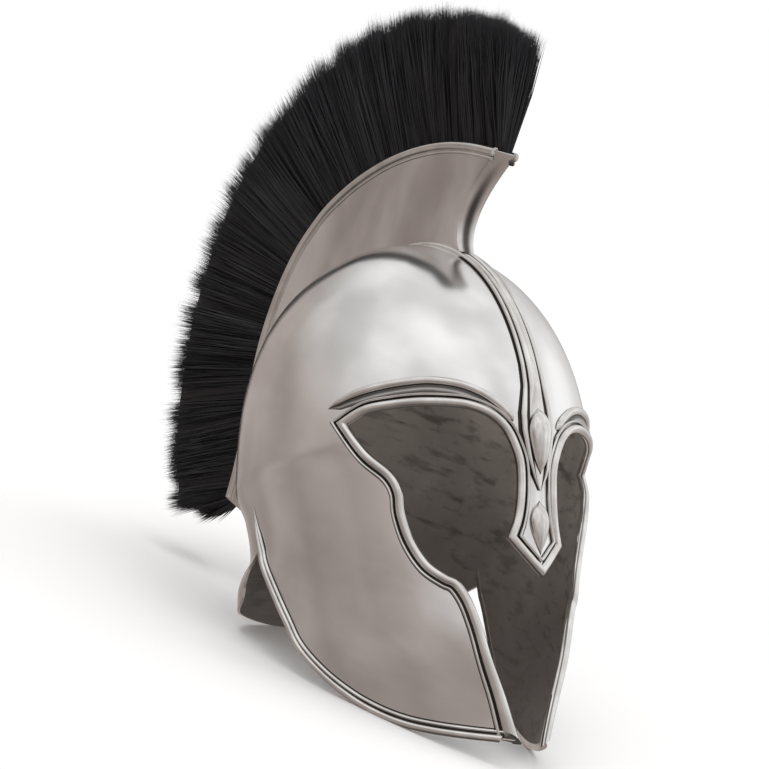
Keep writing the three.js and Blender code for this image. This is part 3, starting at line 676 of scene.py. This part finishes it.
# The crest trims are rolled bands soldered along both outer edges of the crest holder.
CREST_SECTION = np.array([
    (0.1, -7.4), (0.8, -7.2), (1.5, -6.6), (1.6, -5.9), (1.2, -5.2), (0.5, -4.8), (1.7, -4.3), (2.7, -3.2),
    (3.1, -1.8), (2.8, -0.4), (2, 0.7), (0.8, 1.2), (-0.4, 1.2), (-1.3, 0.9), (-1.5, 0.2), (0.1, 0.1),
])
for hand, side in (("left", 1), ("right", -1)):
    band = laid_flat(f"crest_trim_{hand}_band", 160, len(CREST_SECTION))
    flat = spots(band)
    way = flat[:, 0] + 0.5
    j = numbered(flat[:, 1], len(CREST_SECTION)) % len(CREST_SECTION)
    p = crest_edge(way) + crest_out(way)[1] * CREST_SECTION[j, 1:2]
    move(band, standing(np.stack([side * (EDGE_HALF + CREST_SECTION[j, 0]), p[:, 0], p[:, 1]], 1)))
    # The foot and the groove of each band are painted dark, as painted shade.
    paint_shade_and_grime(band, np.isin(j, (0, 5)))
    close_up()
    set_on(band, f"crest_trim_{hand}", beaded_steel)

# The plume is a brush of dark horsehair, glued in tufts to a red backing strip in the crest's open edge.
# Its hair stands square out from the crest, leans back at the front and hangs a little at the rear.
HAIR_WAYS = [0, 0.12, 0.3, 0.5, 0.7, 0.85, 1]
HAIR_LENGTHS = [79, 89, 95, 95, 88, 80, 56]


def hair_frame(way):
    """Length of the hair, and its directions out and along, by way over the crest."""
    along, out = crest_out(way)
    turn = np.radians(24 * way**4 + 14 * (1 - way) ** 6)
    c, s = np.cos(turn)[..., None], np.sin(turn)[..., None]
    return eased(HAIR_WAYS, HAIR_LENGTHS, way), out * c + along * s, along * c - out * s


hair, flow, shader = new_finish("hair")
shade = flow.attribute("shade")
flow.feed(shader, {
    "Base Color": shade.tint((0.004, 0.004, 0.0048), (0.045, 0.045, 0.052)),
    "Roughness": 0.45 + shade * 0.2,
    "Specular IOR Level": 0.35,
})
felt, flow, shader = new_finish("backing_felt")
flow.feed(shader, {
    "Base Color": flow.cloud(300, 3).tint((0.10, 0.008, 0.01), (0.17, 0.018, 0.02)),
    "Roughness": 0.9,
    "Normal": flow.cloud(900, 2).bump(0.3, 0.0005),
})
BACKING = [(6.4, 0.9), (6.4, -8), (-6.4, -8), (-6.4, 0.9)]
backing = laid_flat("plume_backing", 120, len(BACKING))
flat = spots(backing)
way = 0.012 + 0.976 * (flat[:, 0] + 0.5)
j = numbered(flat[:, 1], len(BACKING)) % len(BACKING)
p = crest_edge(way) + crest_out(way)[1] * np.array(BACKING)[j, 1:2]
move(backing, standing(np.stack([np.array(BACKING)[j, 0], p[:, 0], p[:, 1]], 1)))
close_up()
set_on(backing, "plume", felt)

CORE = [(4.8, -0.03), (6.2, 0.1), (10.5, 0.35), (14, 0.6), (15.5, 0.8), (13, 0.9), (0, 0.93)]
core_loop = np.array(CORE + [(-x, share) for x, share in CORE[-2::-1]])
core = laid_flat("plume_core", 90, len(core_loop))
flat = spots(core)
way = 0.02 + 0.96 * (flat[:, 0] + 0.5)
j = numbered(flat[:, 1], len(core_loop)) % len(core_loop)
length, out, along = hair_frame(way)
p = crest_edge(way) + out * (length * core_loop[j, 1])[:, None]
move(core, standing(np.stack([core_loop[j, 0], p[:, 0], p[:, 1]], 1)))
close_up()
set_on(core, "plume", hair)

TUFTS, HAIRS_IN_TUFT, BUNCHES = 150, 120, 4
ROOT_HALF, TIP_SPREAD, HAIR_REACH = 5, 13.6, 24
THIN_HAIR, THICK_HAIR = 0.32, 0.5
HAIR_POINTS = 7
rng = np.random.default_rng(11)
for bunch in range(BUNCHES):
    tuft_way = (bunch + rng.random(TUFTS)) / BUNCHES
    tuft_side = np.sin(pi * (rng.random(TUFTS) - 0.5))
    tuft_long = 1 + rng.normal(0, 0.022, TUFTS)
    tuft_slip = rng.normal(0, 1.6, (TUFTS, 2))
    tuft_shade = rng.random(TUFTS)
    t = np.repeat(np.arange(TUFTS), HAIRS_IN_TUFT)
    count = len(t)
    way = np.clip(tuft_way[t] + rng.normal(0, 0.006, count), 0.004, 0.996)
    side = 0.88 * tuft_side[t] + rng.normal(0, 0.12, count)
    length, out, along = hair_frame(way)
    length = length * tuft_long[t] * np.clip(1 - np.abs(rng.normal(0, 0.05, count)), 0.8, 1.03)
    slip = tuft_slip[t] + rng.normal(0, 2.4, (count, 2))
    root = crest_edge(way)
    line = []
    for share, fan in ((0.0, 0.0), (0.5, 0.62), (1.0, 1.0)):
        p = root + out * (share * length)[:, None] + along * (slip[:, 0] * share)[:, None]
        x = side * (ROOT_HALF + TIP_SPREAD * fan) + slip[:, 1] * share**2
        line.append(np.stack([np.clip(x, -HAIR_REACH, HAIR_REACH), p[:, 0], p[:, 1]], 1))
    widths = rng.uniform(THIN_HAIR, THICK_HAIR, count)
    turn = rng.uniform(0, 2 * pi, count)
    across = np.stack([np.ones(count), np.zeros(count), np.zeros(count)], 1)
    forward = np.concatenate([np.zeros((count, 1)), along], 1)
    rings = []
    for middle, size in zip(line[:2], (1.0, 0.9)):
        for k in range(3):
            a = turn + 2 * pi * k / 3
            spread = across * np.cos(a)[:, None] + forward * np.sin(a)[:, None]
            rings.append(middle + spread * (widths * size)[:, None])
    points = np.stack(rings + [line[2]], 1).reshape(-1, 3)
    base = np.arange(count)[:, None] * HAIR_POINTS
    triangles = [(0, 2, 1)]
    for k in range(3):
        n = (k + 1) % 3
        triangles += [(k, n, 3 + n), (k, 3 + n, 3 + k), (3 + k, 3 + n, 6)]
    corners = (base[:, :, None] + np.array(triangles)[None]).reshape(-1, 3)
    mesh = bpy.data.meshes.new(f"plume_hair_{bunch}")
    mesh.from_pydata(standing(points), [], corners)
    own_grey = np.clip(tuft_shade[t] * 0.5 + rng.random(count) * 0.5, 0, 1)
    grey = own_grey[:, None] * np.array([0.3] * 3 + [0.6] * 3 + [1.0])
    mesh.attributes.new("shade", "FLOAT", "POINT").data.foreach_set("value", grey.ravel())
    hairs = bpy.data.objects.new(f"plume_hair_{bunch}", mesh)
    bpy.context.collection.objects.link(hairs)
    take_up(hairs)
    edit((bpy.ops.mesh.normals_make_consistent, {"inside": False}))
    set_on(hairs, "plume", hair)

# A pale table stands under the helmet and fades into white around it. Only the camera sees it, so that
# the steel mirrors the room alone.
bpy.ops.object.select_all(action="DESELECT")
bpy.ops.mesh.primitive_circle_add(vertices=96, radius=3, fill_type="NGON", location=(0, 0, -0.0005))
table = bpy.context.object
table.name = "table"
table.visible_glossy = False
pale, flow, shader = new_finish("pale_table")
spot = flow.node("ShaderNodeTexCoord", {}, {}, "Object")
far = flow.node("ShaderNodeVectorMath", {"operation": "LENGTH"}, {0: spot}, "Value")
flow.feed(shader, {
    "Base Color": (0.95, 0.95, 0.95, 1),
    "Roughness": 0.6,
    "Alpha": 1 - far.between(0.25, 0.7),
})
table.data.materials.append(pale)

# Soft studio light: an uneven room that is white above and a warm grey below, whiter to the right of the
# picture, with wide lamps whose own shapes the steel does not mirror, and a weak one inside the hollow.
room = bpy.data.worlds.new("white_room")
bpy.context.scene.world = room
room.use_nodes = True
flow = Flow(room.node_tree)
spot = flow.node("ShaderNodeTexCoord", {}, {}, "Generated")
up = flow.node("ShaderNodeSeparateXYZ", {}, {"Vector": spot}, "Z")
right = flow.node("ShaderNodeSeparateXYZ", {}, {"Vector": spot}, "X")
walls = flow.node("ShaderNodeValToRGB", {"stops": [
    (0.0, (0.05, 0.046, 0.043)), (0.08, (0.16, 0.145, 0.135)), (0.2, (0.36, 0.315, 0.295)),
    (0.55, (0.45, 0.395, 0.372)), (0.62, (0.52, 0.488, 0.474)), (0.74, (0.71, 0.705, 0.7)),
    (0.86, (0.92, 0.92, 0.92)), (1.0, (1, 1, 1)),
]}, {"Fac": up * 0.5 + 0.5 + right.between(0, 1) * 0.22})
uneven = flow.node("ShaderNodeTexNoise", {"noise_dimensions": "4D"},
                   {"Vector": spot, "W": 3.0, "Scale": 2.4, "Detail": 2.0})
shade = uneven.between(0.36, 0.64).tint((0.82, 0.81, 0.8), (1.14, 1.14, 1.14))
walls = flow.node("ShaderNodeMix", {"data_type": "RGBA", "blend_type": "MULTIPLY"},
                  {"Factor": 1.0, "A": walls, "B": shade}, "Result")
seen = flow.node("ShaderNodeLightPath", {}, {}, "Is Camera Ray")
shown = flow.node("ShaderNodeMix", {"data_type": "RGBA"},
                  {"Factor": seen, "A": walls, "B": (1, 1, 1, 1)}, "Result")
flow.feed(room.node_tree.nodes["Background"], {"Color": shown, "Strength": 1.0})
for name, spot, wide, watts in (
    ("lamp_over", (-0.3, 0.1, 1.9), 1.6, 14),
    ("lamp_left", (-1.9, -0.9, 1.0), 1.2, 2),
    ("lamp_front", (-0.6, -2.0, 0.9), 1.2, 5),
):
    lamp = bpy.data.objects.new(name, bpy.data.lights.new(name, "AREA"))
    lamp.data.size = wide
    lamp.data.energy = watts
    lamp.location = spot
    lamp.rotation_euler = (Vector((0, 0, 0.2)) - Vector(spot)).to_track_quat("-Z", "Y").to_euler()
    lamp.visible_glossy = False
    bpy.context.collection.objects.link(lamp)
inside_lamp = bpy.data.objects.new("lamp_inside", bpy.data.lights.new("lamp_inside", "POINT"))
inside_lamp.data.shadow_soft_size = 0.03
inside_lamp.data.energy = 0.06
inside_lamp.location = (0, -0.0415, 0.174)
inside_lamp.visible_glossy = False
bpy.context.collection.objects.link(inside_lamp)
bpy.context.scene.view_settings.view_transform = "Standard"
